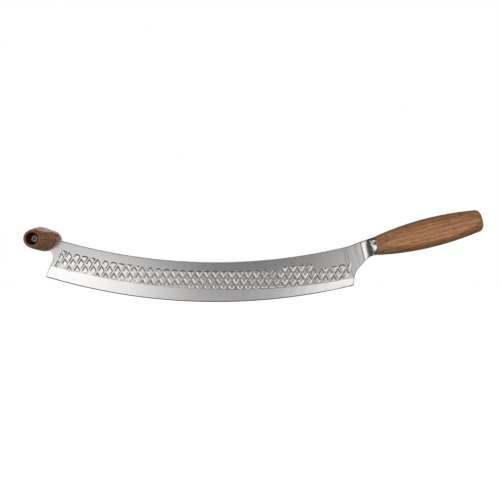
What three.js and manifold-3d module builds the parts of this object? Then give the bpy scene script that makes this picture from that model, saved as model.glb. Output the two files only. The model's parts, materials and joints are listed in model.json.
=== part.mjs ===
// Rocking knife for pizza and cheese: a long curved blade with a dimpled band, a barrel handle in line
// with it, and a short cross grip that turns on the round eye in the blade's tip.
// Millimetres, +Z up. The blade stands in the XZ plane with its edge down and its handle towards +X.
import * as THREE from 'three';
import { mergeVertices } from 'three/addons/utils/BufferGeometryUtils.js';
import { ConvexGeometry } from 'three/addons/geometries/ConvexGeometry.js';
import Module from 'manifold-3d';

const wasm = await Module();
wasm.setup();

// Driving dimensions. Reaches and places in the blade's plane are taken from the lowest point of the edge.
const seam = 0.3; // gap left between two pieces that touch

// Blade blank
const bladeThickness = 2;
const edgeRadius = 631; // arc of the cutting edge
const spineRadius = 607; // arc of the spine
const bladeDepth = 43.2; // spine to edge at their lowest
const tipReach = 183.9; // end of the edge on the tip side
const heelReach = 149.3; // end of the edge on the handle side
const tipLean = 24; // degrees that the tip's end leans back
const cornerRound = 1.6; // rounding at both ends of the edge
const heelRise = 17; // height of the heel's steep part, before it swings out to the bolster
const spineBlend = 14.968; // where the spine leaves its arc, before the bolster

// Grinding
const grindGap = 0.8; // from the dimpled band's bottom border to the start of the ground face
const grindPast = 4; // run of the wheel past each end of the edge
const grindThickness = 0.7; // blade left where the cutting bevel starts
const bevelHeight = 1.1;
const edgeThickness = 0.2;

// Eye in the tip, and the bush that runs in it
const eyePast = 2; // eye's centre beyond the edge's end at the tip, and above it
const eyeRise = 40.607;
const eyeRadius = 11;
const neckFillet = 8.6; // between the eye and the tip's end
const bushDiameter = 8;
const bushStand = 0.3; // bush standing proud of each side of the eye

// Dimpled band: a staggered pattern of sunk diamonds, cut off by curved borders
const pitPitch = 8.8; // along a row
const rowPitch = 7.3;
const pitLand = 0.9; // flat left between two diamonds
const pitDepth = 0.4;
const pitWall = 1.1; // run of the sloping wall
const pitSmallest = 1.6; // floor area in square millimetres below which a cut-off diamond is left out
const shortestSide = 0.15; // sides of a cut-off diamond shorter than this are dropped
const punchStand = 0.05; // punch standing clear of the blade's face
const patternX = 0; // centre of one diamond
const patternZ = 32.6;
const patternTilt = -0.66; // degrees
const bandDrop = 9.4; // band's top border below the spine
const bandFootRadius = 726; // arc of the band's bottom border
const bandFootX = 13.7; // lowest point of that arc
const bandFootZ = 14;
const bandTipGap = 4.5; // from the tip's end
const bandHeelGap = 3.3; // from the heel
const plainRun = 41.3; // next to the heel, where the band's top border is lower
const plainDrop = 7.8;

// Handle
const handleTilt = 14; // degrees
const handlePast = 23.4; // wood's front beyond the edge's end at the heel, and above it
const handleRise = 42.583;
const handleLength = 117;
const frontDepth = 19.8;
const frontWidth = 20;
const bellyAt = 60.5; // thickest place, from the front
const bellyDepth = 31.8;
const bellyWidth = 28.4;
const buttDepth = 22.4;
const buttWidth = 22;
const buttRound = 4; // rounding of the butt's rim
const sideFlats = 23.2; // across the two planed sides

// Tang inside the handle
const tangLength = 80;
const tangDepth = 13;
const tangEndDepth = 9;

// Bolster: two cheeks, one on each face of the blade
const bolsterLength = 14.8;
const noseThickness = 0.4;
const noseTop = 8.6; // above and below the handle's axis
const noseBottom = -13;
const waistTop = 9.3; // pull on the outline halfway along
const waistBottom = -7.7;
const hollowReach = 3.6; // level start of the hollow that rises from the blade
const shoulderAt = 7.9; // steepest place between the hollow and the collar, before the wood
const shoulderThickness = 4.1;
const shoulderSlope = 75; // degrees
const shoulderReach = 2.4;
const collarReach = 6; // straight run of the collar, before the wood
const collarSlope = 10;

// Cross grip
const gripLength = 96;
const gripBelly = 26.4; // diameter at the blade
const gripEnd = 18; // diameter at each end
const gripRim = 0.8; // rounding of the end's rim
const gripFlats = 22.8; // across the two planed sides
const gripTurn = 25; // degrees that the flats are turned from level

// Screw, washers and nut that hold the cross grip
const screwDiameter = 4;
const headDiameter = 7;
const headHeight = 4;
const headSunk = 9.5; // top of the head below the grip's end
const keyAcross = 3; // hexagon socket
const keyDepth = 2;
const washerDiameter = 12;
const washerThickness = 1;
const washerClearance = 0.5; // round the washer in its recess
const nutAcross = 7;
const nutHeight = 5;
const screwTail = 1; // thread past the nut

// Fineness
const arcSteps = 14; // per curve, and twice that on arcs
const roundSteps = 32; // round a turned piece
const fineSteps = 20; // round a small turned piece
const loftSteps = 9; // along each half of a barrel

const steel = new THREE.MeshStandardMaterial({ color: 0xc4c2c0, roughness: 0.35, metalness: 1 });
const polishedSteel = new THREE.MeshStandardMaterial({ color: 0xd0cecb, roughness: 0.15, metalness: 1 });
const zincSteel = new THREE.MeshStandardMaterial({ color: 0x9d9c9a, roughness: 0.4, metalness: 1 });
const brass = new THREE.MeshStandardMaterial({ color: 0xb08d4a, roughness: 0.4, metalness: 1 });
const wood = new THREE.MeshStandardMaterial({ color: 0x8f5f38, roughness: 0.5, metalness: 0 });

const point = (x, z) => new THREE.Vector2(x, z);
const edgeCentre = point(0, edgeRadius);
const spineCentre = point(0, bladeDepth + spineRadius);
const tipCorner = onArc(edgeCentre, edgeRadius, -tipReach); // ends of the edge
const heel = onArc(edgeCentre, edgeRadius, heelReach);
const eye = tipCorner.clone().add(point(-eyePast, eyeRise));
const handleFront = heel.clone().add(point(handlePast, handleRise)); // centre of the wood's front face
const footCentre = point(bandFootX, bandFootZ + bandFootRadius); // of the dimpled band's bottom border
const tilt = THREE.MathUtils.degToRad(handleTilt);
const halfBlade = bladeThickness / 2;
const nose = -bolsterLength - seam; // front of the bolster along the handle's axis
const collarEnd = -seam; // back of the bolster
const waist = (nose + collarEnd) / 2;

// Point of the blade's plane from its place along and above the handle's axis
function onHandle(along, above) {
  return point(along, above).rotateAround(point(0, 0), tilt).add(handleFront);
}

// Point at a given X on the lower side of a circle, and the angle of a point seen from a centre
function onArc(centre, radius, x) {
  return point(x, centre.y - Math.sqrt(radius ** 2 - (x - centre.x) ** 2));
}

function angleFrom(centre, place) {
  return Math.atan2(place.y - centre.y, place.x - centre.x);
}

// Geometry as a solid for cutting and joining, with shared corners welded
function solid(geometry) {
  const bare = geometry.clone();
  bare.deleteAttribute('normal');
  bare.deleteAttribute('uv');
  const welded = mergeVertices(bare);
  const corners = Array.from(welded.index.array);
  const triangles = [];
  for (let i = 0; i < corners.length; i += 3) {
    const [a, b, c] = corners.slice(i, i + 3);
    if (a !== b && b !== c && c !== a) triangles.push(a, b, c);
  }
  const vertProperties = new Float32Array(welded.attributes.position.array);
  const mesh = new wasm.Mesh({ numProp: 3, vertProperties, triVerts: new Uint32Array(triangles) });
  return new wasm.Manifold(mesh);
}

function geometryOf(shape) {
  const { vertProperties, triVerts } = shape.getMesh();
  const geometry = new THREE.BufferGeometry();
  geometry.setAttribute('position', new THREE.BufferAttribute(vertProperties, 3));
  geometry.setIndex(new THREE.BufferAttribute(triVerts, 1));
  geometry.computeVertexNormals();
  return geometry;
}

// Skin over rings with equal counts of points, closed by a fan at each end
function loft(rings) {
  const count = rings[0].length;
  const last = (rings.length - 1) * count;
  const index = [];
  for (let start = 0; start < last; start += count) {
    for (let p = 0; p < count; p++) {
      const a = start + p;
      const b = start + (p + 1) % count;
      index.push(a, b, b + count, a, b + count, a + count);
    }
  }
  for (let p = 1; p < count - 1; p++) {
    index.push(0, p + 1, p, last, last + p, last + p + 1);
  }
  const geometry = new THREE.BufferGeometry().setFromPoints(rings.flat());
  geometry.setIndex(index);
  return geometry;
}

// Plate of a given thickness, centred on the XZ plane
function plate(shape, thickness) {
  const geometry = new THREE.ExtrudeGeometry(shape, {
    depth: thickness, bevelEnabled: false, curveSegments: arcSteps,
  });
  return geometry.rotateX(Math.PI / 2).translate(0, thickness / 2, 0);
}

function piece(name, geometry, material) {
  const mesh = new THREE.Mesh(geometry, material);
  mesh.name = name;
  return mesh;
}

// Outline of the bolster above and below the handle's axis, shared by the blade and its two cheeks
const bolsterTop = new THREE.QuadraticBezierCurve(
  point(nose, noseTop), point(waist, waistTop), point(collarEnd, frontDepth / 2));
const bolsterBottom = new THREE.QuadraticBezierCurve(
  point(nose, noseBottom), point(waist, waistBottom), point(collarEnd, -frontDepth / 2));

// Tip's end: a leaning line from the edge, then a fillet into the eye
const tipUp = point(0, 1).rotateAround(point(0, 0), -THREE.MathUtils.degToRad(tipLean));
const tipOut = point(-tipUp.y, tipUp.x);

function neckFilletCentre() {
  const start = tipCorner.clone().addScaledVector(tipOut, neckFillet).sub(eye);
  const reach = eyeRadius + neckFillet;
  const back = start.dot(tipUp);
  const run = -back - Math.sqrt(back ** 2 - start.lengthSq() + reach ** 2);
  return start.addScaledVector(tipUp, run).add(eye);
}

// Outline of the blank: from the bolster along the spine to the eye, the tip, the edge, the heel and the tang
function bladeOutline() {
  const shape = new THREE.Shape();
  const noseTopPoint = onHandle(nose, noseTop);
  const spineEnd = onArc(spineCentre, spineRadius, noseTopPoint.x - spineBlend);
  const spineStep = spineEnd.clone().sub(spineCentre).normalize();
  const blend = noseTopPoint.distanceTo(spineEnd) / 3;
  const blendOut = spineEnd.clone().addScaledVector(point(-spineStep.y, spineStep.x), blend);
  const spineIn = bolsterTop.getTangent(0).rotateAround(point(0, 0), tilt);
  const blendIn = noseTopPoint.clone().addScaledVector(spineIn, -blend);
  const collarTop = onHandle(collarEnd, frontDepth / 2);
  const topControl = onHandle(waist, waistTop);
  shape.moveTo(collarTop.x, collarTop.y);
  shape.quadraticCurveTo(topControl.x, topControl.y, noseTopPoint.x, noseTopPoint.y);
  shape.bezierCurveTo(blendIn.x, blendIn.y, blendOut.x, blendOut.y, spineEnd.x, spineEnd.y);

  // Spine to where its arc meets the eye
  const away = eye.distanceTo(spineCentre);
  const opening = Math.acos((spineRadius ** 2 + away ** 2 - eyeRadius ** 2) / (2 * spineRadius * away));
  const meetAngle = angleFrom(spineCentre, eye) + opening;
  const meet = point(spineRadius, 0).rotateAround(point(0, 0), meetAngle).add(spineCentre);
  shape.absarc(spineCentre.x, spineCentre.y, spineRadius, angleFrom(spineCentre, spineEnd), meetAngle, true);

  // Round the eye, over the top, and back through the fillet to the tip's end
  const fillet = neckFilletCentre();
  const filletStart = fillet.clone().sub(eye).angle();
  const filletEnd = Math.atan2(-tipOut.y, -tipOut.x);
  shape.absarc(eye.x, eye.y, eyeRadius, angleFrom(eye, meet), filletStart, false);
  shape.absarc(fillet.x, fillet.y, neckFillet, filletStart - Math.PI, filletEnd, true);
  const tipStart = tipCorner.clone().addScaledVector(tipUp, cornerRound);
  const edgeStart = onArc(edgeCentre, edgeRadius, cornerRound - tipReach);
  shape.lineTo(tipStart.x, tipStart.y);
  shape.quadraticCurveTo(tipCorner.x, tipCorner.y, edgeStart.x, edgeStart.y);

  // Edge and heel
  const edgeEnd = onArc(edgeCentre, edgeRadius, heelReach - cornerRound);
  const edgeAngles = [angleFrom(edgeCentre, edgeStart), angleFrom(edgeCentre, edgeEnd)];
  const noseLow = onHandle(nose, noseBottom);
  const swing = bolsterBottom.getTangent(0).rotateAround(point(0, 0), tilt);
  const swingIn = noseLow.clone().addScaledVector(swing, -noseLow.distanceTo(heel) / 3);
  const lowControl = onHandle(waist, waistBottom);
  const collarLow = onHandle(collarEnd, -frontDepth / 2);
  shape.absarc(edgeCentre.x, edgeCentre.y, edgeRadius, ...edgeAngles, false);
  shape.quadraticCurveTo(heel.x, heel.y, heel.x, heel.y + cornerRound);
  shape.bezierCurveTo(heel.x, heel.y + heelRise, swingIn.x, swingIn.y, noseLow.x, noseLow.y);
  shape.quadraticCurveTo(lowControl.x, lowControl.y, collarLow.x, collarLow.y);

  // Tang, narrower than the wood's front so that the blade's shoulders meet it
  const tang = [
    [collarEnd, -tangDepth / 2], [tangLength, -tangEndDepth / 2],
    [tangLength, tangEndDepth / 2], [collarEnd, tangDepth / 2],
  ];
  for (const [along, above] of tang) {
    const corner = onHandle(along, above);
    shape.lineTo(corner.x, corner.y);
  }
  shape.lineTo(collarTop.x, collarTop.y);

  const hole = new THREE.Path();
  hole.absarc(eye.x, eye.y, bushDiameter / 2 + seam, 0, 2 * Math.PI, true);
  shape.holes.push(hole);
  return shape;
}

// Distance from the edge's centre, along a ray, to the line where the ground face starts
function groundLine(ray) {
  const away = footCentre.clone().sub(edgeCentre);
  const along = ray.dot(away);
  return along + Math.sqrt(along ** 2 - away.lengthSq() + (bandFootRadius + grindGap) ** 2);
}

// What the grinding wheel takes off one face: a ground face, then the cutting bevel, swept along the edge
function grinding(side) {
  const grindFall = halfBlade - grindThickness / 2;
  const bevelFall = (grindThickness - edgeThickness) / 2;
  const over = edgeThickness; // how far the wheel reaches outside the blade
  const ringAt = (angle) => {
    const ray = point(Math.sin(angle), -Math.cos(angle));
    const start = groundLine(ray);
    const run = edgeRadius - bevelHeight - start;
    const section = [
      [edgeRadius + over, halfBlade + over],
      [start - over * run / grindFall, halfBlade + over],
      [edgeRadius - bevelHeight, grindThickness / 2],
      [edgeRadius + over, edgeThickness / 2 - over * bevelFall / bevelHeight],
    ];
    return section.map(([radius, y]) => {
      const place = edgeCentre.clone().addScaledVector(ray, radius);
      return new THREE.Vector3(place.x, side * y, place.y);
    });
  };
  const from = -Math.asin((tipReach + grindPast) / edgeRadius);
  const to = Math.asin((heelReach + grindPast) / edgeRadius);
  const count = 2 * arcSteps;
  const rings = Array.from({ length: count + 1 }, (_, i) => ringAt(from + (to - from) * i / count));
  return solid(loft(side > 0 ? rings : rings.reverse()));
}

// Part of a convex outline on the near side of a line
function clip(outline, outward, reach) {
  const kept = [];
  outline.forEach((corner, i) => {
    const next = outline[(i + 1) % outline.length];
    const here = outward.dot(corner) - reach;
    const there = outward.dot(next) - reach;
    if (here <= 0) kept.push(corner);
    if (here * there < 0) kept.push(corner.clone().lerp(next, here / (here - there)));
  });
  return kept.filter((corner, i) => corner.distanceTo(kept[(i + 1) % kept.length]) > shortestSide);
}

// Convex outline, anticlockwise, drawn in by an equal distance on every side
function inset(outline, distance) {
  return outline.reduce((left, corner, i) => {
    const along = outline[(i + 1) % outline.length].clone().sub(corner).normalize();
    const outward = point(along.y, -along.x);
    return clip(left, outward, outward.dot(corner) - distance);
  }, outline);
}

// One diamond of the band, cut off at the band's borders
function diamond(centre) {
  const turn = THREE.MathUtils.degToRad(patternTilt);
  const half = point(pitPitch / 2, rowPitch);
  const cell = [point(half.x, 0), point(0, half.y), point(-half.x, 0), point(0, -half.y)]
    .map((corner) => corner.rotateAround(point(0, 0), turn).add(centre));
  const up = spineCentre.clone().sub(centre).normalize();
  const drop = centre.x > heel.x - plainRun ? bandDrop + plainDrop : bandDrop;
  const down = centre.clone().sub(footCentre).normalize();
  const borders = [
    [up, up.dot(spineCentre) - spineRadius - drop],
    [down, down.dot(footCentre) + bandFootRadius],
    [tipOut, tipOut.dot(tipCorner) - bandTipGap],
    [point(1, 0), heel.x - bandHeelGap],
  ];
  return borders.reduce((left, [outward, reach]) => clip(left, outward, reach), inset(cell, pitLand / 2));
}

// Rims and floors of all the diamonds in the band
function bandPits() {
  const turn = THREE.MathUtils.degToRad(patternTilt);
  const pits = [];
  const columns = Math.ceil((tipReach + heelReach) / pitPitch);
  const rows = Math.ceil(bladeDepth / rowPitch) + 1;
  for (let row = -rows; row <= rows; row++) {
    const stagger = row % 2 ? pitPitch / 2 : 0;
    for (let column = -columns; column <= columns; column++) {
      const centre = point(column * pitPitch + stagger, row * rowPitch).rotateAround(point(0, 0), turn);
      const rim = diamond(centre.add(point(patternX, patternZ)));
      const floor = rim.length > 2 ? inset(rim, pitWall) : [];
      if (floor.length > 2 && THREE.ShapeUtils.area(floor) > pitSmallest) pits.push({ rim, floor });
    }
  }
  return pits;
}

// Body of one pit as the punch that makes it, on the near face or the far one
function punch({ rim, floor }, side) {
  const at = (outline, depth) => outline.map((corner) => new THREE.Vector3(
    corner.x, side * (halfBlade - depth), corner.y));
  return solid(new ConvexGeometry([...at(rim, -punchStand), ...at(floor, pitDepth)]));
}

function blade() {
  let body = solid(plate(bladeOutline(), bladeThickness));
  for (const side of [-1, 1]) {
    body = body.subtract(grinding(side));
    for (const pit of bandPits()) body = body.subtract(punch(pit, side));
  }
  return piece('blade', geometryOf(body), steel);
}

// Thickness of a cheek along the handle's axis: a hollow, a steep shoulder and a collar that meets the wood
function cheekProfile(full) {
  const heading = (degrees, length) =>
    point(length, 0).rotateAround(point(0, 0), THREE.MathUtils.degToRad(degrees));
  const start = point(nose, noseThickness);
  const shoulder = point(-shoulderAt, shoulderThickness);
  const end = point(collarEnd, full);
  const level = point(hollowReach, 0);
  const steep = heading(shoulderSlope, shoulderReach);
  const taper = heading(collarSlope, collarReach);
  const hollow = new THREE.CubicBezierCurve(
    start, start.clone().add(level), shoulder.clone().sub(steep), shoulder);
  const collar = new THREE.CubicBezierCurve(
    shoulder, shoulder.clone().add(steep), end.clone().sub(taper), end);
  return [...hollow.getPoints(loftSteps), ...collar.getPoints(loftSteps).slice(1)];
}

// One cheek of the bolster: half an oval in section, rising from the blade to the wood's front
function bolsterCheek(name, side) {
  const face = halfBlade + seam;
  const ringAt = (place) => {
    const share = (place.x - nose) / (collarEnd - nose);
    const top = bolsterTop.getPoint(share).y;
    const bottom = bolsterBottom.getPoint(share).y;
    return Array.from({ length: roundSteps / 2 + 1 }, (_, i) => {
      const angle = Math.PI * (i / (roundSteps / 2) - 0.5);
      const height = THREE.MathUtils.lerp(bottom, top, (1 + Math.sin(angle)) / 2);
      return new THREE.Vector3(place.x, side * (face + place.y * Math.cos(angle)), height);
    });
  };
  const rings = cheekProfile(frontWidth / 2 - face).map(ringAt);
  return piece(name, loft(side < 0 ? rings.reverse() : rings), polishedSteel);
}

// Half size of a barrel: a gentle curve from its belly to each end
function barrel(along, front, belly, butt) {
  const share = along < bellyAt ? (bellyAt - along) / bellyAt : (along - bellyAt) / (handleLength - bellyAt);
  return (belly - (belly - (along < bellyAt ? front : butt)) * share ** 2) / 2;
}

function handle() {
  const ringAt = (along, drawnIn) => {
    const depth = barrel(along, frontDepth, bellyDepth, buttDepth) - drawnIn;
    const width = barrel(along, frontWidth, bellyWidth, buttWidth) - drawnIn;
    return Array.from({ length: roundSteps }, (_, i) => {
      const angle = 2 * Math.PI * i / roundSteps;
      return new THREE.Vector3(along, width * Math.cos(angle), depth * Math.sin(angle));
    });
  };
  const run = handleLength - buttRound;
  const rings = [];
  for (let i = 0; i <= 2 * loftSteps; i++) rings.push(ringAt(run * i / (2 * loftSteps), 0));
  for (const angle of [Math.PI / 6, Math.PI / 3, Math.PI / 2]) {
    rings.push(ringAt(run + buttRound * Math.sin(angle), buttRound * (1 - Math.cos(angle))));
  }
  const planed = new THREE.BoxGeometry(3 * handleLength, sideFlats, 3 * bellyDepth);

  // Slot for the tang, open at the front
  const slot = new THREE.Shape([
    point(-seam, -tangDepth / 2 - seam), point(tangLength + seam, -tangEndDepth / 2 - seam),
    point(tangLength + seam, tangEndDepth / 2 + seam), point(-seam, tangDepth / 2 + seam),
  ]);
  const slotWidth = bladeThickness + 2 * seam;
  const body = solid(loft(rings)).intersect(solid(planed)).subtract(solid(plate(slot, slotWidth)));
  return piece('handle', geometryOf(body), wood);
}

// Turned piece on the Y axis from a profile of radius and height
function turned(profile, steps) {
  return new THREE.LatheGeometry(profile.map(([radius, y]) => point(radius, y)), steps);
}

function ring(name, inner, outer, from, to, material) {
  const profile = [[outer, from], [outer, to], [inner, to], [inner, from], [outer, from]];
  return piece(name, geometryOf(solid(turned(profile, fineSteps))), material);
}

// Places along the cross grip's axis, from the blade outwards
const gripHalf = gripLength / 2;
const gripInner = halfBlade + bushStand + seam; // inner face of each half
const headTop = gripHalf - headSunk;
const headUnder = headTop - headHeight;
const washerUnder = headUnder - seam - washerThickness;
const recessFloor = washerUnder - seam;
const nutUnder = headUnder;
const screwBore = screwDiameter / 2 + seam;

// One half of the cross grip, on the far side of the blade: bored for the screw and recessed for its washer
function gripHalfGeometry() {
  const recess = washerDiameter / 2 + washerClearance;
  const radiusAt = (y) => (gripBelly - (gripBelly - gripEnd) * (y / gripHalf) ** 2) / 2;
  const run = gripHalf - gripRim;
  const outside = Array.from({ length: loftSteps + 1 }, (_, i) => {
    const y = THREE.MathUtils.lerp(gripInner, run, i / loftSteps);
    return [radiusAt(y), y];
  });
  const rim = [Math.PI / 6, Math.PI / 3, Math.PI / 2].map((angle) => [
    radiusAt(run) - gripRim * (1 - Math.cos(angle)), run + gripRim * Math.sin(angle)]);
  const inside = [
    [recess, gripHalf], [recess, recessFloor], [screwBore, recessFloor], [screwBore, gripInner], outside[0],
  ];
  const planed = new THREE.BoxGeometry(2 * gripBelly, 3 * gripLength, gripFlats);
  return geometryOf(solid(turned([...outside, ...rim, ...inside], roundSteps)).intersect(solid(planed)));
}

// Socket-head screw, head towards the viewer
function gripScrew() {
  const tail = nutUnder + nutHeight + screwTail;
  const profile = [
    [0, -headTop], [headDiameter / 2, -headTop], [headDiameter / 2, -headUnder],
    [screwDiameter / 2, -headUnder], [screwDiameter / 2, tail], [0, tail],
  ];
  const key = new THREE.CylinderGeometry(keyAcross / Math.sqrt(3), keyAcross / Math.sqrt(3), 2 * keyDepth, 6);
  key.translate(0, -headTop, 0);
  const body = solid(turned(profile, fineSteps)).subtract(solid(key));
  return piece('grip_screw', geometryOf(body), zincSteel);
}

function gripNut() {
  const hexagon = new THREE.Shape(Array.from({ length: 6 }, (_, i) => point(nutAcross / Math.sqrt(3), 0)
    .rotateAround(point(0, 0), i * Math.PI / 3)));
  hexagon.holes.push(new THREE.Path().absarc(0, 0, screwBore, 0, 2 * Math.PI, true));
  const geometry = plate(hexagon, nutHeight).translate(0, nutUnder + nutHeight / 2, 0);
  return piece('grip_nut', geometry, zincSteel);
}

function crossGrip() {
  const group = new THREE.Group();
  const half = gripHalfGeometry();
  const near = piece('grip_near', half, wood);
  near.rotation.z = Math.PI;
  group.add(
    near, piece('grip_far', half, wood), gripScrew(), gripNut(),
    ring('washer_near', screwBore, washerDiameter / 2, -headUnder + seam, -washerUnder, zincSteel),
    ring('washer_far', screwBore, washerDiameter / 2, washerUnder, headUnder - seam, zincSteel),
    ring('eye_bush', screwBore, bushDiameter / 2, -halfBlade - bushStand, halfBlade + bushStand, brass),
  );
  group.position.set(eye.x, 0, eye.y);
  group.rotation.y = THREE.MathUtils.degToRad(gripTurn);
  return group;
}

function handleEnd() {
  const group = new THREE.Group();
  group.add(bolsterCheek('bolster_near', -1), bolsterCheek('bolster_far', 1), handle());
  group.position.set(handleFront.x, 0, handleFront.y);
  group.rotation.y = -tilt;
  return group;
}

const knife = new THREE.Group();
knife.add(blade(), handleEnd(), crossGrip());

// Origin below the middle of the whole knife, at the lowest point of the edge
const extent = new THREE.Box3().setFromObject(knife, true);
knife.position.set(-(extent.min.x + extent.max.x) / 2, 0, -extent.min.z);

export default knife;
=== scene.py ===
import json
import math

import bmesh
import bpy
from mathutils import Matrix, Vector
from mathutils.bvhtree import BVHTree
from mathutils.geometry import convex_hull_2d, delaunay_2d_cdt


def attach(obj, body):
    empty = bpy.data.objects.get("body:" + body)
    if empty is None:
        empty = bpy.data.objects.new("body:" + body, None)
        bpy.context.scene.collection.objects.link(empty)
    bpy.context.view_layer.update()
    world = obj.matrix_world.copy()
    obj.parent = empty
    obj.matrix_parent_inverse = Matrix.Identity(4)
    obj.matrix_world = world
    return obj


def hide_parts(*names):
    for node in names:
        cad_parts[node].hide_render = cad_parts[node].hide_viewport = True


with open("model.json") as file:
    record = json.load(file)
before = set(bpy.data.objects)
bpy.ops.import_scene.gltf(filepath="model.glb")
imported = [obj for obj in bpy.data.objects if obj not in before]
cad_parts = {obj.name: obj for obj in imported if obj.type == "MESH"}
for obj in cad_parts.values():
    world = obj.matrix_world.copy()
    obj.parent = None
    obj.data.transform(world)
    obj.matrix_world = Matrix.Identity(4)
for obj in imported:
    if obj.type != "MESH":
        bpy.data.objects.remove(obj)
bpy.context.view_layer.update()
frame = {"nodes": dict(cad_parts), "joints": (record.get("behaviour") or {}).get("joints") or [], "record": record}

mm = 0.001
print("frame loaded:", len(frame["nodes"]), "nodes")


# Shader sheets: node outputs that stand in sums, and one method for every other node

class Flow:
    def __init__(self, sheet, socket):
        self.sheet = sheet
        self.socket = socket

    def __add__(self, other):
        return self.sheet.maths("ADD", self, other)

    def __radd__(self, other):
        return self.sheet.maths("ADD", other, self)

    def __sub__(self, other):
        return self.sheet.maths("SUBTRACT", self, other)

    def __rsub__(self, other):
        return self.sheet.maths("SUBTRACT", other, self)

    def __mul__(self, other):
        return self.sheet.maths("MULTIPLY", self, other)

    def __rmul__(self, other):
        return self.sheet.maths("MULTIPLY", other, self)

    def __truediv__(self, other):
        return self.sheet.maths("DIVIDE", self, other)

    def __rtruediv__(self, other):
        return self.sheet.maths("DIVIDE", other, self)

    def __pow__(self, other):
        return self.sheet.maths("POWER", self, other)

    def __rpow__(self, other):
        return self.sheet.maths("POWER", other, self)

    def __abs__(self):
        return self.sheet.maths("ABSOLUTE", self)


class Sheet:
    def __init__(self, tree):
        self.tree = tree
        tree.nodes.clear()

    def add(self, kind, settings=None, inputs=(), output=0):
        node = self.tree.nodes.new(kind)
        for name, value in (settings or {}).items():
            if name == "stops":  # of a colour ramp
                while len(node.color_ramp.elements) < len(value):
                    node.color_ramp.elements.new(1)
                for stop, (place, colour) in zip(node.color_ramp.elements, value):
                    stop.position = place
                    stop.color = (*colour, 1)
            else:
                setattr(node, name, value)
        named = inputs.items() if isinstance(inputs, dict) else enumerate(inputs)
        for key, value in named:
            if isinstance(value, Flow):
                self.tree.links.new(value.socket, node.inputs[key])
            else:
                node.inputs[key].default_value = value
        return Flow(self, node.outputs[output]) if node.outputs else None

    def maths(self, operation, *values):
        return self.add("ShaderNodeMath", {"operation": operation}, values)

    def split(self, vector):
        first = self.add("ShaderNodeSeparateXYZ", {}, [vector])
        return [Flow(self, socket) for socket in first.socket.node.outputs]

    def place(self, scale=(1, 1, 1), turn=(0, 0, 0), shift=(0, 0, 0)):  # piece's own coordinates, in metres
        own = self.add("ShaderNodeTexCoord", output="Object")
        settings = {"Vector": own, "Location": shift, "Rotation": turn, "Scale": scale}
        return self.add("ShaderNodeMapping", {}, settings)

    def noise(self, vector, scale=1.0, detail=2.0, rough=0.5):
        settings = {"Vector": vector, "Scale": scale, "Detail": detail, "Roughness": rough}
        return self.add("ShaderNodeTexNoise", {}, settings)

    def ease(self, value, low, high, top=1.0):  # soft step from 0 at low to top at high
        settings = {"Value": value, "From Min": low, "From Max": high, "To Min": 0.0, "To Max": top}
        return self.add("ShaderNodeMapRange", {"interpolation_type": "SMOOTHSTEP"}, settings)

    def tint(self, share, first, second):  # a Mix node's sockets share their names, so they go by number
        colours = [c if isinstance(c, Flow) else (*c, 1) for c in (first, second)]
        return self.add("ShaderNodeMix", {"data_type": "RGBA"}, {0: share, 6: colours[0], 7: colours[1]}, 2)

    def bump(self, height, strength, distance):
        settings = {"Height": height, "Strength": strength, "Distance": distance}
        return self.add("ShaderNodeBump", {}, settings)

    def shader(self, inputs):
        surface = self.add("ShaderNodeBsdfPrincipled", {}, inputs)
        self.add("ShaderNodeOutputMaterial", {}, {"Surface": surface})


def newMaterial(name):
    material = bpy.data.materials.new(name)
    material.use_nodes = True
    print("material mixed:", name)
    return material, Sheet(material.node_tree)


def darker(colour, share):
    return [c * share for c in colour]


# Materials

def bladeSteel():
    look = {
        "colour": (0.76, 0.745, 0.735), "bright": (0.82, 0.805, 0.795),
        "brush": (2600, 2600, 38), "brushRough": 0.6,  # fine lines from the spine to the edge
        "cloud": 24, "detail": 3,
        "rough": 0.17, "lineSpread": 0.05, "cloudSpread": 0.06,  # and how lines and clouds change it
        "lineShare": 0.05, "depth": 0.00006,
        "wave": (330, 1, 26), "waveShare": 1.7,  # ripples beside the bolster
        "waveFrom": 0.1015, "waveTo": 0.1105,  # measured along the handle
    }
    material, sheet = newMaterial("bladeSteel")
    lines = sheet.noise(sheet.place(look["brush"]), detail=look["detail"], rough=look["brushRough"])
    clouds = sheet.noise(sheet.place(), scale=look["cloud"], detail=look["detail"])
    colour = sheet.tint(lines, look["colour"], look["bright"])
    rough = look["rough"] + (lines - 0.5) * look["lineSpread"] + (clouds - 0.5) * look["cloudSpread"]
    turned = sheet.place(turn=(0, handleForm["tilt"], 0))
    along = sheet.split(turned)[0]
    drawnOut = sheet.add("ShaderNodeVectorMath", {"operation": "MULTIPLY"}, [turned, look["wave"]])
    fade = sheet.ease(along, look["waveFrom"], look["waveTo"], top=look["waveShare"])
    waves = sheet.noise(drawnOut, detail=1) * fade
    normal = sheet.bump(lines * look["lineShare"] + waves, 1.0, look["depth"])
    sheet.shader({"Base Color": colour, "Metallic": 1.0, "Roughness": rough, "Normal": normal})
    return material


def polishedSteel():
    look = {
        "colour": (0.80, 0.785, 0.77), "worn": (0.70, 0.685, 0.67),
        "polish": (260, 1600, 1600), "rough": 0.13, "roughSpread": 0.06,
        "bump": 0.05, "depth": 0.00002,
    }
    material, sheet = newMaterial("polishedSteel")
    lines = sheet.noise(sheet.place(look["polish"]))
    colour = sheet.tint(lines, look["worn"], look["colour"])
    rough = look["rough"] + lines * look["roughSpread"]
    normal = sheet.bump(lines, look["bump"], look["depth"])
    sheet.shader({"Base Color": colour, "Metallic": 1.0, "Roughness": rough, "Normal": normal})
    return material


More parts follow.
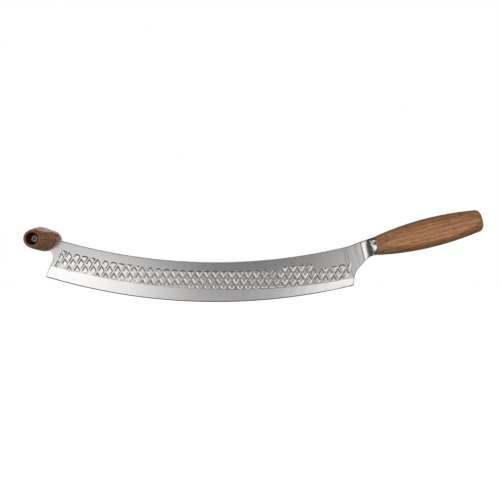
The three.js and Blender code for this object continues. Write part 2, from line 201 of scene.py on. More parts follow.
def fastenerSteel(name):
    look = {
        "zincSteel": {"bright": (0.55, 0.54, 0.53), "dull": (0.36, 0.35, 0.34)},
        # near-black steel for the washers, painted shade of the recess they sit in
        "washerShadeSteel": {"bright": (0.09, 0.087, 0.084), "dull": (0.04, 0.039, 0.038)},
        "grain": 900, "detail": 3, "rough": 0.26, "roughSpread": 0.15, "bump": 0.08, "depth": 0.00004,
    }
    material, sheet = newMaterial(name)
    grain = sheet.noise(sheet.place(), scale=look["grain"], detail=look["detail"])
    colour = sheet.tint(grain, look[name]["dull"], look[name]["bright"])
    rough = look["rough"] + grain * look["roughSpread"]
    normal = sheet.bump(grain, look["bump"], look["depth"])
    sheet.shader({"Base Color": colour, "Metallic": 1.0, "Roughness": rough, "Normal": normal})
    return material


def turnedBrass():
    look = {
        "bright": (0.72, 0.52, 0.22), "dull": (0.46, 0.31, 0.12),
        "lines": (300, 5200, 300), "rough": 0.28, "roughSpread": 0.12,
    }
    material, sheet = newMaterial("turnedBrass")
    lines = sheet.noise(sheet.place(look["lines"]))
    colour = sheet.tint(lines, look["dull"], look["bright"])
    rough = look["rough"] + lines * look["roughSpread"]
    sheet.shader({"Base Color": colour, "Metallic": 1.0, "Roughness": rough})
    return material


def oiledWood(name, form):  # form of the wooden piece, which says where its flats, end and bore lie
    look = {
        "pieceStep": (0.37, 1.91, 2.63),  # moves the grain on from piece to piece
        "pith": (0.045, 0.030), "ring": 0.0026, "wander": 0.0072,  # rings, centred beside the piece
        "lateFrom": 0.35, "lateShare": 0.12,  # dark late wood of each ring
        "waver": (9, 60, 60), "fibre": (30, 1500, 1500), "streak": (6, 460, 460),
        "fleck": (190, 1200, 1200), "pore": (80, 2600, 2600), "fibreRough": 0.65,
        "tone": 0.055, "streakShare": 0.8, "stops": (0.12, 0.46, 0.82),
        "poreFrom": 0.60, "poreTo": 0.70, "poreShade": 0.5, "poreDark": 0.6,
        "flatEdge": (0.0003, 0.000075),  # from where to where a planed side starts, below its flat
        "roundShade": 0.26, "roundDark": 0.55,  # painted shade: rounded sides are darker than planed ones
        # on the next line, a painted highlight along the edges of planed sides
        "endShade": 0.55, "endRun": 0.0008, "edgeHighlight": 0.35,
        "holeEdge": 0.0002, "holeShade": 0.8, "holeDark": 0.12,
        "rough": 0.52, "poreDull": 0.2, "fibreShine": 0.1, "gloss": 0.35,
        "fibreHigh": 0.4, "bump": 0.25, "depth": 0.00012,
    }
    material, sheet = newMaterial(name)
    dark, _, light = form["tones"]
    shift = [form["grain"] * step for step in look["pieceStep"]]

    def grain(way, detail, rough=0.5):  # noise drawn out along the wood
        return sheet.noise(sheet.place(look[way], shift=shift), detail=detail, rough=rough)

    along, across, up = sheet.split(sheet.place())
    reach = ((across - look["pith"][0]) ** 2 + (up - look["pith"][1]) ** 2) ** 0.5
    turns = (reach + (grain("waver", 3) - 0.5) * look["wander"]) / look["ring"]
    late = sheet.ease(sheet.maths("FRACT", turns), look["lateFrom"], 1.0)
    fibre = grain("fibre", 3, look["fibreRough"])
    streak = (grain("streak", 2) - 0.5) * look["streakShare"]
    fleck = grain("fleck", 2) - 0.5
    pore = sheet.ease(grain("pore", 1), look["poreFrom"], look["poreTo"])
    tone = look["tone"] + fibre + streak + fleck - late * look["lateShare"]
    colour = sheet.add("ShaderNodeValToRGB", {"stops": list(zip(look["stops"], form["tones"]))}, [tone])
    colour = sheet.tint(pore * look["poreShade"], colour, darker(dark, look["poreDark"]))

    flat = form["flats"] / 2
    planed = sheet.ease(abs(across) + along * form["taper"], *[flat - edge for edge in look["flatEdge"]])
    ends = sheet.ease(along, form["endGrain"] - look["endRun"], form["endGrain"])
    # painted shade on the rounded sides, with the darker end grain
    sideShadeAndEndGrain = (1 - planed) * look["roundShade"] + ends * look["endShade"]
    colour = sheet.tint(sideShadeAndEndGrain, colour, darker(dark, look["roundDark"]))
    border = planed * (1 - planed) * 4  # painted highlight, 1 halfway over the edge of a planed side
    colour = sheet.tint(border * look["edgeHighlight"], colour, light)
    if form["recess"]:  # drilled end, with painted shade inside
        out = (across ** 2 + up ** 2) ** 0.5
        recessShade = sheet.ease(out, form["recess"] + look["holeEdge"], form["recess"])
        colour = sheet.tint(recessShade * look["holeShade"], colour, darker(dark, look["holeDark"]))

    rough = look["rough"] + pore * look["poreDull"] - fibre * look["fibreShine"]
    normal = sheet.bump(fibre * look["fibreHigh"] - pore, look["bump"], look["depth"])
    sheet.shader({
        "Base Color": colour, "Roughness": rough, "Normal": normal, "Specular IOR Level": look["gloss"],
    })
    return material


# Mesh helpers

def makePiece(name, shape, material, body, node, place=Matrix()):
    mesh = bpy.data.meshes.new(name)
    points, faces = shape
    mesh.from_pydata(points, [], faces)
    mesh.shade_smooth()
    mesh.materials.append(material)
    piece = bpy.data.objects.new(name, mesh)
    piece.matrix_world = place
    bpy.context.scene.collection.objects.link(piece)
    shading = piece.modifiers.new("flats", "WEIGHTED_NORMAL")  # flats stay flat beside small roundings
    shading.keep_sharp = True
    shading.weight = 100
    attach(piece, body)
    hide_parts(node)
    print(name, "made:", len(mesh.polygons), "faces")
    return piece


def skin(rings, joined=False):  # quads over rings of equal count, joined in a loop or shut at both ends
    count = len(rings[0])
    points = [p for ring in rings for p in ring]
    faces = []
    spans = len(rings) if joined else len(rings) - 1
    for r in range(spans):
        a = r * count
        b = (r + 1) % len(rings) * count
        for i in range(count):
            j = (i + 1) % count
            faces.append((a + i, a + j, b + j, b + i))
    if not joined:
        for ring, start, turn in ((rings[0], 0, -1), (rings[-1], len(points) - count, 1)):
            middle = sum((Vector(p) for p in ring), Vector()) / count
            hub = len(points)
            points.append(middle)
            for i in range(count):
                pair = (start + i, start + (i + 1) % count)[::turn]
                faces.append((hub, *pair))
    return points, faces


def lerp(a, b, share):
    return a + (b - a) * share


def onCircle(count):
    return [2 * math.pi * i / count for i in range(count)]


def sideWord(side):
    return "Near" if side < 0 else "Far"


# Plane outlines, in millimetres: X along the knife and Y up

def chains(edges):  # runs of corners joined end to end
    nextTo = {}
    for a, b in edges:
        nextTo.setdefault(a, []).append(b)
        nextTo.setdefault(b, []).append(a)
    left = set(nextTo)
    runs = []
    while left:
        start = next((v for v in sorted(left) if len(nextTo[v]) == 1), None)
        closed = start is None
        run = [min(left) if closed else start]
        left.discard(run[0])
        while True:
            step = next((v for v in nextTo[run[-1]] if v in left), None)
            if step is None:
                break
            run.append(step)
            left.discard(step)
        runs.append((run, closed))
    return runs


def area(outline):
    return sum(a.x * b.y - a.y * b.x for a, b in zip(outline, outline[1:] + outline[:1])) / 2


def middleOf(outline):
    return sum(outline, Vector((0, 0))) / len(outline)


def anticlockwise(outline):
    return outline if area(outline) > 0 else outline[::-1]


def spaced(outline, gap):  # without corners that crowd the one before
    kept = []
    for corner in outline:
        if not kept or (corner - kept[-1]).length > gap:
            kept.append(corner)
    if len(kept) > 1 and (kept[0] - kept[-1]).length <= gap:
        kept.pop()
    return kept


def clip(outline, outward, reach):
    kept = []
    for a, b in zip(outline, outline[1:] + outline[:1]):
        here = outward.dot(a) - reach
        there = outward.dot(b) - reach
        if here <= 0:
            kept.append(a)
        if here * there < 0:
            kept.append(a.lerp(b, here / (here - there)))
    return kept


def drawnIn(outline, distance, lean):  # convex and anticlockwise, drawn in more from above than below
    left = outline
    for a, b in zip(outline, outline[1:] + outline[:1]):
        along = (b - a).normalized()
        outward = Vector((along.y, -along.x))
        left = clip(left, outward, outward.dot(a) - distance * (1 + lean * outward.y))
    return left


def softCorners(outline, cut, steps):
    mostCut = 0.4  # of the side beside a corner
    soft = []
    for before, corner, after in zip(outline[-1:] + outline[:-1], outline, outline[1:] + outline[:1]):
        back = before - corner
        ahead = after - corner
        start = corner + back.normalized() * min(cut, back.length * mostCut)
        end = corner + ahead.normalized() * min(cut, ahead.length * mostCut)
        for i in range(steps + 1):
            t = i / steps
            soft.append(start * (1 - t) ** 2 + corner * (2 * t * (1 - t)) + end * t ** 2)
    return soft


def moved(outline, distances):  # each corner of an anticlockwise outline moved inwards
    leastTurn = 0.3  # keeps the mitres of sharp corners short
    result = []
    for i, corner in enumerate(outline):
        back = (corner - outline[i - 1]).normalized()
        ahead = (outline[(i + 1) % len(outline)] - corner).normalized()
        left = Vector((-back.y - ahead.y, back.x + ahead.x)) / max(1 + back.dot(ahead), leastTurn)
        result.append(corner + left * distances[i])
    return result


# Blade: the solid's outline and creases, with eased borders and softened dimples

bladeForm = {
    "half": 1.0,  # of the thickness
    "ease": 0.75, "easeShare": 0.75,  # rounding of the outline, and its most as a share of the half
    "easeSteps": 3, "flatStart": 0.25,  # steps of that rounding, and a flat strip beside it
    "crowd": 0.22,  # corners of the outline closer than this are dropped
    "creaseEnd": 1.1,  # creases stop this far from the outline
    "deep": 0.5, "solidDeep": 0.4,  # of a dimple, here and in the solid
    "roll": [  # a dimple's section: how far in from its rim, and the share of its depth
        (-0.2, 0), (-0.06, 0), (0.05, 0.024), (0.15, 0.1), (1.1, 0.86), (1.25, 0.95), (1.45, 1), (1.65, 1),
    ],
    "lean": 0.3, "dip": 0.02,  # how much wider its upper walls are, and how its floor falls to the edge
    "corner": 0.4, "cornerSteps": 2,  # rounding of its corners
    "rimCrowd": 0.05, "ringCrowd": 0.12, "leastArea": 0.3,  # smaller rings are left out
}


class BladeSolid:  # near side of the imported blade, its faces sorted by what they are
    def __init__(self):
        self.mesh = bmesh.new()
        self.mesh.from_mesh(frame["nodes"]["blade"].data)
        bmesh.ops.remove_doubles(self.mesh, verts=self.mesh.verts, dist=1e-6)
        bmesh.ops.dissolve_degenerate(self.mesh, edges=self.mesh.edges, dist=1e-7)
        self.mesh.normal_update()
        self.mesh.verts.index_update()
        self.mesh.faces.ensure_lookup_table()
        self.tree = BVHTree.FromBMesh(self.mesh)
        self.flat = [Vector((v.co.x, v.co.z)) / mm for v in self.mesh.verts]
        self.depth = [-v.co.y / mm for v in self.mesh.verts]  # towards the viewer
        self.kind = {face: self.kindOf(face) for face in self.mesh.faces}

    def kindOf(self, face):
        squarest = {"rim": 0.3, "wall": 0.96, "bevel": 0.99, "ground": 0.9999}  # facing, of each kind
        facing = -face.normal.y  # 1 where it looks straight at the viewer
        if facing < squarest["rim"]:
            return "rim" if facing > -squarest["rim"] else "far"
        if facing < squarest["wall"]:
            return "dimple"
        if facing < squarest["bevel"]:
            return "bevel"
        if facing < squarest["ground"]:
            return "ground"
        depth = -face.calc_center_median().y / mm
        return "dimple" if depth < bladeForm["half"] - bladeForm["solidDeep"] / 2 else "land"

    def linesBetween(self, first, second):
        found = []
        for edge in self.mesh.edges:
            kinds = {self.kind[f] for f in edge.link_faces}
            if len(kinds) == 2 and kinds & first and kinds & second:
                found.append((edge.verts[0].index, edge.verts[1].index))
        return [([self.flat[i] for i in run], closed) for run, closed in chains(found)]

    def halfAt(self, place):  # half the thickness at a place, dimples filled
        outside = 10  # in front of the blade
        thinnest = 0.05
        start = Vector((place.x, -outside, place.y)) * mm
        hit, _, index, _ = self.tree.ray_cast(start, Vector((0, 1, 0)))
        if hit is None or hit.y > 0:
            beside = Vector((place.x, -bladeForm["half"], place.y)) * mm
            hit, _, index, _ = self.tree.find_nearest(beside)
        filled = self.kind[self.mesh.faces[index]] == "dimple"
        return bladeForm["half"] if filled else max(-hit.y / mm, thinnest)

    def dimpleRims(self):
        nearby = 0.02  # corners this close below the blade's face are on the rim
        rims = []
        left = {face for face in self.mesh.faces if self.kind[face] == "dimple"}
        for first in self.mesh.faces:
            if first not in left:
                continue
            left.remove(first)
            found = [first]
            for face in found:  # which grows by the faces beside it
                beside = {f for edge in face.edges for f in edge.link_faces} & left
                left -= beside
                found.extend(beside)
            marks = sorted({v.index for face in found for v in face.verts})
            top = [self.flat[i] for i in marks if self.depth[i] > bladeForm["half"] - nearby]
            rims.append(spaced(anticlockwise([top[i] for i in convex_hull_2d(top)]), bladeForm["rimCrowd"]))
        return rims


class Drawing:  # corners and lines of the blade's mesh, seen from the side
    def __init__(self):
        self.corners = []
        self.lines = []
        self.drops = {}  # below the solid's face, by corner

    def add(self, outline, closed=True, drops=()):
        start = len(self.corners)
        count = len(outline)
        self.corners.extend(outline)
        for i in range(count if closed else count - 1):
            self.lines.append((start + i, start + (i + 1) % count))
        for i, drop in enumerate(drops):
            self.drops[start + i] = drop


def drawBorders(drawing, solid):  # eased rings in from the outline and from the eye, which is returned
    form = bladeForm
    found = solid.linesBetween({"rim"}, {"land", "ground", "bevel"})
    outlines = [spaced(run, form["crowd"]) for run, closed in found if closed]
    outlines.sort(key=lambda outline: -abs(area(outline)))
    outside = anticlockwise(outlines[0])
    eye = anticlockwise(outlines[1])[::-1]
    for outline in (outside, eye):
        eases = [min(form["ease"], form["easeShare"] * solid.halfAt(p)) for p in outline]
        for i in range(form["easeSteps"] + 1):
            angle = math.pi / 2 * i / form["easeSteps"]
            ring = moved(outline, [ease * (1 - math.cos(angle)) for ease in eases])
            drawing.add(ring, drops=[ease * (1 - math.sin(angle)) for ease in eases])
        drawing.add(moved(outline, [ease + form["flatStart"] for ease in eases]))
    return eye


def drawCreases(drawing, solid):  # where the ground face and the bevel start
    end = bladeForm["creaseEnd"]
    creases = []
    for pair in (({"land"}, {"ground"}), ({"ground"}, {"bevel"})):
        for run, _ in solid.linesBetween(*pair):
            kept = spaced(run, bladeForm["crowd"])
            inner = [p for p in kept if min((p - q).length for q in (kept[0], kept[-1])) > end]
            first = kept[0].lerp(kept[1], end / (kept[1] - kept[0]).length)
            last = kept[-1].lerp(kept[-2], end / (kept[-2] - kept[-1]).length)
            creases.append([first, *inner, last])
            drawing.add(creases[-1], closed=False)
    return creases


def drawDimples(drawing, solid):
    form = bladeForm
    rims = solid.dimpleRims()
    for rim in rims:
        middle = sum(p.y for p in rim) / len(rim)
        for run, share in form["roll"]:
            ring = drawnIn(rim, run, form["lean"]) if run > 0 else moved(rim, [run] * len(rim))
            ring = spaced(ring, form["ringCrowd"])
            if len(ring) > 2 and area(ring) > form["leastArea"]:
                ring = softCorners(ring, form["corner"], form["cornerSteps"])
                depths = [form["deep"] + form["dip"] * (middle - p.y) for p in ring]
                drawing.add(ring, drops=[share * depth for depth in depths])
    print("blade drawn:", len(rims), "dimples,", len(drawing.corners), "corners")


def bladeSkin(drawing, solid, eye):  # both faces and the border between them
    insideOnly = 1  # triangles within the drawn lines
    merge = 1e-4
    drawn = delaunay_2d_cdt(drawing.corners, drawing.lines, [], insideOnly, merge)
    flat, _, triangles, fromCorner, _, _ = drawn
    holeMiddle = middleOf(eye)
    holeReach = min((p - holeMiddle).length for p in eye) * 0.98  # just inside the eye
    triangles = [t for t in triangles if (middleOf([flat[i] for i in t]) - holeMiddle).length > holeReach]
    used = {}
    for a, b, c in triangles:
        for pair in ((a, b), (b, c), (c, a)):
            key = tuple(sorted(pair))
            used[key] = None if key in used else pair
    border = [pair for pair in used.values() if pair]

    near = []
    for place, marks in zip(flat, fromCorner):
        known = [drawing.drops[mark] for mark in marks if mark in drawing.drops]
        half = solid.halfAt(place) - (known[0] if known else 0)
        near.append(Vector((place.x, -half, place.y)) * mm)
    points = near + [Vector((p.x, -p.y, p.z)) for p in near]
    count = len(near)
    faces = [tuple(t) for t in triangles]
    faces += [(c + count, b + count, a + count) for a, b, c in triangles]
    faces += [(b, a, a + count, b + count) for a, b in border]
    return points, faces


def sharpen(mesh, creases):  # edges that lie along the creases
    places = 3  # decimals, in millimetres
    marks = {(round(p.x, places), round(p.y, places)) for crease in creases for p in crease}
    sharp = [(round(v.co.x / mm, places), round(v.co.z / mm, places)) in marks for v in mesh.vertices]
    for edge in mesh.edges:
        a, b = edge.vertices
        edge.use_edge_sharp = sharp[a] and sharp[b]


def makeBlade(material):
    solid = BladeSolid()
    drawing = Drawing()
    eye = drawBorders(drawing, solid)
    creases = drawCreases(drawing, solid)
    drawDimples(drawing, solid)
    shape = bladeSkin(drawing, solid, eye)
    piece = makePiece("knifeBlade", shape, material, "knife", "blade")
    sharpen(piece.data, creases)
    solid.mesh.free()


# Sections shared by the handle and the cross grip: an oval planed on two sides

def planedSection(halfWidth, halfDepth, flat, form):
    leastFlat = 0.10  # of the depth
    softBorder = 0.12  # of the ease
    ease = form["ease"]
    corner = halfDepth * math.sqrt(1 - (flat / max(halfWidth, flat)) ** 2)
    corner = max(corner, halfDepth * leastFlat)
    rows = [corner * i / form["flatRows"] for i in range(form["flatRows"])]
    rows[-1] = max(rows[-1], corner - 2 * ease)
    rows += [corner - ease / 2, corner + ease / 2]
    start = math.asin(min(1, (corner + ease) / halfDepth))
    for i in range(form["arcRows"]):
        rows.append(halfDepth * math.sin(lerp(start, math.pi / 2, (i + 0.5) / form["arcRows"])))

    def width(z):  # soft least of the oval and the flat
        over = halfWidth * math.sqrt(max(0, 1 - (z / halfDepth) ** 2)) - flat
        return flat - (math.sqrt(over ** 2 + (softBorder * ease) ** 2) - over) / 2

    quarter = [(width(z), z) for z in rows]
    left = [(-y, z) for y, z in reversed(quarter)]
    low = [(-y, -z) for y, z in quarter[1:]]
    right = [(y, -z) for y, z in reversed(quarter[1:])]
    return quarter + [(0, halfDepth)] + left + low + [(0, -halfDepth)] + right


# Handle

handleForm = {
    "tilt": math.radians(14), "length": 117 * mm, "bellyAt": 60.5 * mm,
    "frontDepth": 19.8 * mm, "bellyDepth": 31.8 * mm, "buttDepth": 22.4 * mm,
    "frontWidth": 20 * mm, "bellyWidth": 28.4 * mm, "buttWidth": 22 * mm,
    "flats": 23.2 * mm, "taper": 0, "recess": 0,  # from flat to flat, which lie level, and no bore
    "round": 4 * mm, "frontEase": 0.3 * mm, "ease": 0.4 * mm,
    "steps": 64, "roundSteps": 8, "flatRows": 5, "arcRows": 12,
    "grain": 1, "endGrain": 116.5 * mm,
    "tones": [(0.12, 0.048, 0.018), (0.32, 0.148, 0.064), (0.47, 0.245, 0.116)],
}


def handlePlace():  # centre of the wood's front, X along the handle
    form = handleForm
    flatMiddle = next(m for m in frame["record"]["mounts"] if m["name"] == "handle_flat_near")["pos_m"]
    along = Vector((math.cos(form["tilt"]), 0, math.sin(form["tilt"])))
    front = Vector((flatMiddle[0], 0, flatMiddle[2])) - along * form["bellyAt"]
    return Matrix.Translation(front) @ Matrix.Rotation(-form["tilt"], 4, "Y")


def makeHandle(material):
    form = handleForm

    def half(x, way):  # of the depth or the width
        before = x < form["bellyAt"]
        run = form["bellyAt"] if before else form["length"] - form["bellyAt"]
        share = abs(x - form["bellyAt"]) / run
        end = form["front" + way] if before else form["butt" + way]
        return (form["belly" + way] - (form["belly" + way] - end) * share ** 2) / 2

    def ring(x, inward):
        width = half(x, "Width") - inward
        depth = half(x, "Depth") - inward
        return [Vector((x, y, z)) for y, z in planedSection(width, depth, form["flats"] / 2, form)]

    run = form["length"] - form["round"]
    rings = [ring(0, form["frontEase"])]
    rings += [ring(lerp(form["frontEase"], run, i / form["steps"]), 0) for i in range(form["steps"] + 1)]
    for i in range(1, form["roundSteps"] + 1):
        angle = math.pi / 2 * i / form["roundSteps"]
        rings.append(ring(run + form["round"] * math.sin(angle), form["round"] * (1 - math.cos(angle))))
    makePiece("barrelHandle", skin(rings), material, "knife", "handle", handlePlace())


# Bolster: each cheek swells from the blade in a hollow, and a collar runs on to the wood

def makeBolster(material, side):
    form = {
        "root": (-17.6, 0.93), "hollow": [(-12, 0.93), (-7.7, 2.8)],  # along the handle, and outwards
        "shoulder": (-7.2, 5.4), "collar": [(-6.8, 7.6), (-5.8, 8.9)], "end": (0, 10),
        "nose": -15.1, "top": [8.6, 9.3, 9.9], "bottom": [-13, -7.7, -9.9],  # from the nose to the wood
        "inset": 0.2,  # of the root from that outline
        "boxy": 7, "oval": 2.2, "boxyRun": 3,  # section at the root and the wood, and how late it changes
        "lower": 3.2, "lowerRun": 8,  # widest line below the axis, and how late it comes back up
        "steps": 36, "rows": 48,
    }

    def bezier(points, t):
        while len(points) > 1:
            points = [a.lerp(b, t) for a, b in zip(points, points[1:])]
        return points[0]

    def level(ends, x):  # top or bottom of the outline, carried on straight past the nose
        share = 1 - x / form["nose"]
        if share < 0:
            return ends[0] + 2 * (ends[1] - ends[0]) * share
        return ends[0] * (1 - share) ** 2 + ends[1] * 2 * share * (1 - share) + ends[2] * share ** 2

    hollow = [form["root"], *form["hollow"], form["shoulder"]]
    collar = [form["shoulder"], *form["collar"], form["end"]]
    profile = []
    for part in (hollow, collar):
        stops = [Vector(p) for p in part]
        profile += [bezier(stops, (i + 1) / form["steps"]) for i in range(form["steps"])]
    rings = []
    rootOut = form["root"][1]
    for x, out in profile:
        rise = min(max((out - rootOut) / (form["end"][1] - rootOut), 0), 1)
        inset = form["inset"] * (1 - rise)
        top = level(form["top"], x) - inset
        bottom = level(form["bottom"], x) + inset
        power = 2 / lerp(form["boxy"], form["oval"], rise ** form["boxyRun"])
        ring = []
        for j in range(form["rows"] + 1):
            angle = math.pi * (j / form["rows"] - 0.5)
            high = math.copysign(abs(math.sin(angle)) ** power, math.sin(angle))
            wide = max(math.cos(angle), 0) ** power
            y = rootOut + (out - rootOut) * wide
            lower = form["lower"] * (1 - rise ** form["lowerRun"]) * (1 - high ** 2)
            ring.append(Vector((x, side * y, lerp(bottom, top, (1 + high) / 2) - lower)) * mm)
        rings.append(ring if side > 0 else ring[::-1])
    word = sideWord(side)
    makePiece("bolster" + word, skin(rings), material, "knife",
              "bolster_" + word.lower(), handlePlace())


# Cross grip

gripForm = {
    "length": 96 * mm, "belly": 26.4 * mm, "end": 18 * mm, "rim": 0.9 * mm, "turn": math.radians(25),
    "flats": 22.8 * mm, "taper": 0.0337,  # from flat to flat at the blade, and how steeply each draws in
    "inner": 1.35 * mm, "innerEase": 0.2 * mm, "ease": 0.6 * mm,
    "recess": 6.5 * mm, "bore": 2.3 * mm,  # radii
    "floor": 32.9 * mm, "mouthEase": 0.35 * mm,  # of the recess
    "steps": 44, "rimSteps": 5, "flatRows": 5, "arcRows": 12,
    "grain": 4, "endGrain": 47.8 * mm,
    # painted light: tones lighter than the handle's, for light the grip's sides lack
    "tones": [(0.19, 0.068, 0.022), (0.52, 0.215, 0.083), (0.72, 0.33, 0.145)],
}


def gripPlace(side):  # on the eye's axis, X outwards along the grip and Y square to its flats
    turn = gripForm["turn"]
    pivot = Vector(frame["joints"][0]["pos_m"])
    out = Vector((0, side, 0))
    flatWay = Vector((math.sin(turn), 0, math.cos(turn)))
    third = out.cross(flatWay)
    axes = Matrix((out, flatWay, third)).transposed().to_4x4()
    return Matrix.Translation(pivot) @ axes


def makeGripHalf(material, side):
    form = gripForm
    half = form["length"] / 2
    mouth = form["mouthEase"]
    bend = mouth * 0.3  # halfway round the recess's edge

    def ring(x, inward):
        reach = (form["belly"] - (form["belly"] - form["end"]) * (x / half) ** 2) / 2 - inward
        flat = form["flats"] / 2 - form["taper"] * x - inward
        return [Vector((x, y, z)) for y, z in planedSection(reach, reach, flat, form)]

    def circle(x, reach, like):  # corners in the same directions as another ring's
        return [Vector((x, *(Vector((p.y, p.z)).normalized() * reach))) for p in like]

    run = half - form["rim"]
    start = form["inner"] + form["innerEase"]
    rings = [ring(form["inner"], form["innerEase"])]
    rings += [ring(lerp(start, run, i / form["steps"]), 0) for i in range(form["steps"] + 1)]
    for i in range(1, form["rimSteps"] + 1):
        angle = math.pi / 2 * i / form["rimSteps"]
        rings.append(ring(run + form["rim"] * math.sin(angle), form["rim"] * (1 - math.cos(angle))))
    inside = [  # recess and bore, as places along the grip and radii
        (half, form["recess"] + mouth), (half - bend, form["recess"] + bend),
        (half - mouth, form["recess"]), (lerp(half, form["floor"], 0.5), form["recess"]),
        (form["floor"] + mouth, form["recess"]), (form["floor"], form["recess"] - mouth),
        (form["floor"], form["bore"] + mouth), (form["floor"] - mouth, form["bore"]),
        (form["inner"] + mouth, form["bore"]), (form["inner"], form["bore"] + mouth),
    ]
    rim = rings[-1]
    rings += [circle(x, reach, rim) for x, reach in inside]
    word = sideWord(side)
    makePiece("grip" + word, skin(rings, joined=True), material, "front_grip",
              "grip_" + word.lower(), gripPlace(side))


# Screw, nut and washers on the cross grip's axis

fastenerForm = {"chamfer": 0.25 * mm, "shank": 4 * mm, "steps": 48}


def lathe(sections):  # rings on the X axis from pairs of place and radius, which may depend on the angle
    angles = onCircle(fastenerForm["steps"])
    rings = []
    for x, reach in sections:
        reaches = [reach(a) if callable(reach) else reach for a in angles]
        rings.append([Vector((x, r * math.cos(a), r * math.sin(a))) for a, r in zip(angles, reaches)])
    return rings


def hexagon(across):
    def reach(angle):
        return across / 2 / math.cos((angle + math.pi / 6) % (math.pi / 3) - math.pi / 6)
    return reach


def makeScrew(material):
    form = {
        "tail": -40.5 * mm, "top": 38.5 * mm, "headHeight": 4 * mm, "head": 7 * mm,
        "key": 3 * mm, "keyDeep": 2 * mm, "keyEnd": 0.3 * mm,
    }
    small = fastenerForm["chamfer"]
    shank = fastenerForm["shank"] / 2
    head = form["head"] / 2
    key = hexagon(form["key"])
    tail = form["tail"]
    top = form["top"]
    under = top - form["headHeight"]
    keyFloor = top - form["keyDeep"]
    sections = [
        (tail, shank - 2 * small), (tail + 2 * small, shank), (under, shank),
        (under, head - small), (under + small, head), (top - 2 * small, head),
        (top - 0.5 * small, head - 0.6 * small), (top, head - 2 * small),
        (top, lambda a: key(a) + small), (top - small, key),
        (keyFloor, key), (keyFloor - small, form["keyEnd"]),
    ]
    makePiece("gripScrew", skin(lathe(sections)), material, "front_grip",
              "grip_screw", gripPlace(-1))


def makeNut(material):
    form = {"across": 7 * mm, "low": 34.5 * mm, "high": 39.5 * mm, "collar": 1.3 * mm, "clear": 0.1 * mm}
    small = fastenerForm["chamfer"]
    bore = fastenerForm["shank"] / 2 + form["clear"]
    flat = hexagon(form["across"])
    corner = form["across"] / math.sqrt(3)
    barrel = form["across"] / 2 - 1.5 * small
    low = form["low"]
    high = form["high"]
    collar = high - form["collar"]

    def turned(cut):  # corners of the hexagon turned off
        return lambda a: min(flat(a), corner - cut)

    sections = [
        (low, bore), (low, turned(3 * small)), (low + small, turned(small)), (low + 2 * small, turned(0)),
        (collar - 2 * small, turned(0)), (collar - small, turned(small)), (collar, turned(3 * small)),
        (collar + small, barrel), (high - 2 * small, barrel), (high, barrel - 2 * small),
        (high, bore + small), (high - small, bore),
    ]
    makePiece("gripNut", skin(lathe(sections), joined=True), material, "front_grip",
              "grip_nut", gripPlace(1))


def makeWasher(material, side):
    form = {"across": 12 * mm, "low": 33.2 * mm, "high": 34.2 * mm}
    small = fastenerForm["chamfer"]
    bore = gripForm["bore"]
    outer = form["across"] / 2
    low = form["low"]
    high = form["high"]
    sections = [
        (low, bore), (low, outer - small), (low + small, outer), (high - 1.6 * small, outer),
        (high - 0.5 * small, outer - 0.5 * small), (high, outer - 1.6 * small),
        (high, bore + small), (high - small, bore),
    ]
    word = sideWord(side)
    makePiece("washer" + word, skin(lathe(sections), joined=True), material, "front_grip",
              "washer_" + word.lower(), gripPlace(side))


# Camera, floor and light

def makeCamera():
    shot = {"place": (-0.0074, -0.900, 0.0563), "lens": 60, "sensor": 36}  # 540 mm across at the blade
    data = bpy.data.cameras.new("photoCamera")
    data.lens = shot["lens"]
    data.sensor_width = shot["sensor"]
    camera = bpy.data.objects.new("photoCamera", data)
    camera.location = shot["place"]
    camera.rotation_euler = (math.pi / 2, 0, 0)
    bpy.context.scene.collection.objects.link(camera)
    bpy.context.scene.camera = camera
    print("camera placed:", shot["place"])


def makeFloor():
    form = {
        "level": -0.25, "reach": 6, "steps": 96, "colour": (0.93, 0.93, 0.93, 1), "glow": 1.0,
        "grain": 40, "rough": 0.85, "roughSpread": 0.05, "gloss": 0.1,
    }
    material, sheet = newMaterial("paleFloor")
    grain = sheet.noise(sheet.place(), scale=form["grain"])
    sheet.shader({
        "Base Color": form["colour"], "Roughness": form["rough"] + grain * form["roughSpread"],
        "Specular IOR Level": form["gloss"],
        "Emission Color": form["colour"], "Emission Strength": form["glow"],
    })
    reach = form["reach"]
    ring = [(reach * math.cos(a), reach * math.sin(a), form["level"]) for a in onCircle(form["steps"])]
    mesh = bpy.data.meshes.new("paleFloor")
    mesh.from_pydata(ring, [], [tuple(range(form["steps"]))])
    mesh.materials.append(material)
    floor = bpy.data.objects.new("paleFloor", mesh)
    bpy.context.scene.collection.objects.link(floor)
    floor.visible_glossy = False
    floor.visible_diffuse = False
    print("floor laid:", form["level"])


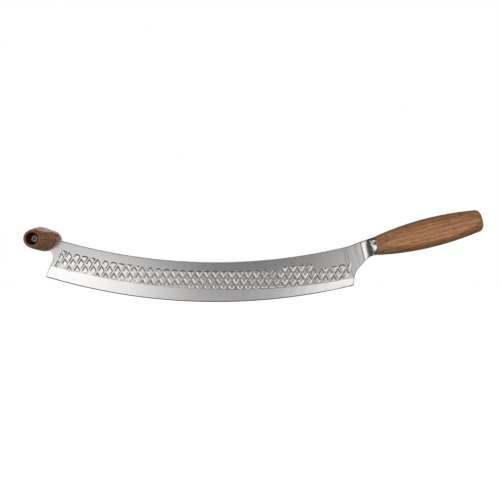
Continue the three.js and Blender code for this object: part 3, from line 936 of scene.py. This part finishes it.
def makeStudio():
    front = [  # soft boxes in front of the blade, by where they stand in degrees
        {"side": 0, "high": -12, "halfWide": 8, "halfTall": 6, "soft": 4.5, "light": 0.34},
        {"side": 0, "high": 1, "halfWide": 9, "halfTall": 5, "soft": 3, "light": 0.09},
        {"side": -16.5, "high": -1, "halfWide": 9.5, "halfTall": 4, "soft": 3, "light": 0.41},
        {"side": -42, "high": -4, "halfWide": 16, "halfTall": 6, "soft": 2.5, "light": 0.9},
        {"side": -13.25, "high": -8.2, "halfWide": 6.1, "halfTall": 6.75, "soft": 4, "light": 1.2},
        {"side": 23.7, "high": 1, "halfWide": 17, "halfTall": 5, "soft": 2.5, "light": 0.62},
        {"side": 9.5, "high": -10.6, "halfWide": 3.8, "halfTall": 6.75, "soft": 3, "light": 1.4},
        {"side": -35, "high": 21, "halfWide": 13.5, "halfTall": 7, "soft": 3, "light": 1.35},
        {"side": 36, "high": 21, "halfWide": 13.5, "halfTall": 8, "soft": 3, "light": 1.35},
        {"side": 28, "high": -20, "halfWide": 7, "halfTall": 5, "soft": 3, "light": 0.3},
        {"side": -25, "high": -7.5, "halfWide": 8, "halfTall": 3.5, "soft": 2.5, "light": 0.8},
        {"side": -65, "high": 21.5, "halfWide": 11, "halfTall": 6.5, "soft": 3, "light": 0.9},
        {"side": 6, "high": -38.5, "halfWide": 9, "halfTall": 5, "soft": 2.5, "light": 0.1},
        {"side": -6, "high": 56, "halfWide": 14, "halfTall": 15, "soft": 4, "light": 0.9},
        {"side": -45, "high": -56, "halfWide": 32, "halfTall": 18, "soft": 4, "light": 0.9},
    ]
    back = [  # and behind it
        {"side": -22, "high": -9, "halfWide": 21, "halfTall": 14, "soft": 4, "light": 0.6},
        {"side": 6, "high": -5, "halfWide": 7, "halfTall": 8, "soft": 3, "light": 0.3},
        {"side": 45, "high": -14, "halfWide": 28, "halfTall": 18, "soft": 8, "light": 0.55},
        {"side": -14, "high": 10, "halfWide": 12, "halfTall": 9, "soft": 3, "light": 3.7},
    ]
    room = {"front": 0.1, "back": 0.06, "backdrop": 1.0, "seam": 0.02}
    world = bpy.data.worlds.new("studio")
    world.use_nodes = True
    bpy.context.scene.world = world
    sheet = Sheet(world.node_tree)
    x, y, z = sheet.split(sheet.add("ShaderNodeTexCoord", output="Generated"))
    side = sheet.maths("DEGREES", sheet.maths("ARCTAN2", x, abs(y)))
    high = sheet.maths("DEGREES", sheet.maths("ARCSINE", z))
    behind = sheet.ease(y, -room["seam"], room["seam"])
    light = room["front"] + behind * (room["back"] - room["front"])
    for panels, half in ((front, 1 - behind), (back, behind)):
        for panel in panels:
            soft = panel["soft"]
            wide = sheet.ease(abs(side - panel["side"]), panel["halfWide"] + soft, panel["halfWide"] - soft)
            tall = sheet.ease(abs(high - panel["high"]), panel["halfTall"] + soft, panel["halfTall"] - soft)
            light = light + wide * tall * half * panel["light"]
    seen = sheet.add("ShaderNodeLightPath", output="Is Camera Ray")
    strength = light + seen * (room["backdrop"] - light)
    glow = sheet.add("ShaderNodeBackground", {}, {"Color": (1, 1, 1, 1), "Strength": strength})
    sheet.add("ShaderNodeOutputWorld", {}, {"Surface": glow})
    bpy.context.scene.view_settings.view_transform = "Standard"
    print("studio lit:", len(front + back), "panels")


def makeFills():  # soft fills for the wood, which metal doesn't mirror
    fills = {
        "frontFill": {"place": (0, -2.2, 0.25), "facing": (0, 1, 0), "size": 1.2, "power": 36.5},
        "backFill": {"place": (0, 2.2, 0.25), "facing": (0, -1, 0), "size": 1.2, "power": 36.5},
        "tipFill": {"place": (-2.2, 0, 0.25), "facing": (1, 0, 0), "size": 1.2, "power": 25},
        "buttFill": {"place": (0.45, 0.05, 0.15), "facing": (-1, 0, -0.3), "size": 0.15, "power": 0.13},
    }
    for name, form in fills.items():
        data = bpy.data.lights.new(name, "AREA")
        data.size = form["size"]
        data.energy = form["power"]
        fill = bpy.data.objects.new(name, data)
        fill.location = form["place"]
        fill.rotation_euler = Vector(form["facing"]).to_track_quat("-Z", "Y").to_euler()
        fill.visible_glossy = False
        fill.visible_camera = False
        bpy.context.scene.collection.objects.link(fill)
    print("fills lit:", len(fills))


makeCamera()
makeFloor()
makeStudio()
makeFills()

zincSteel = fastenerSteel("zincSteel")
# the washers get near-black steel as painted shade of the recess
washerShadeSteel = fastenerSteel("washerShadeSteel")
polish = polishedSteel()
# the grip's wood is a lighter copy of the handle's, painted light
gripWood = oiledWood("gripWood", gripForm)
makeBlade(bladeSteel())
makeHandle(oiledWood("handleWood", handleForm))
for way in (-1, 1):
    makeBolster(polish, way)
    makeGripHalf(gripWood, way)
    makeWasher(washerShadeSteel, way)
makeScrew(zincSteel)
makeNut(zincSteel)
bush = frame["nodes"]["eye_bush"]
bush.data.materials.clear()
bush.data.materials.append(turnedBrass())
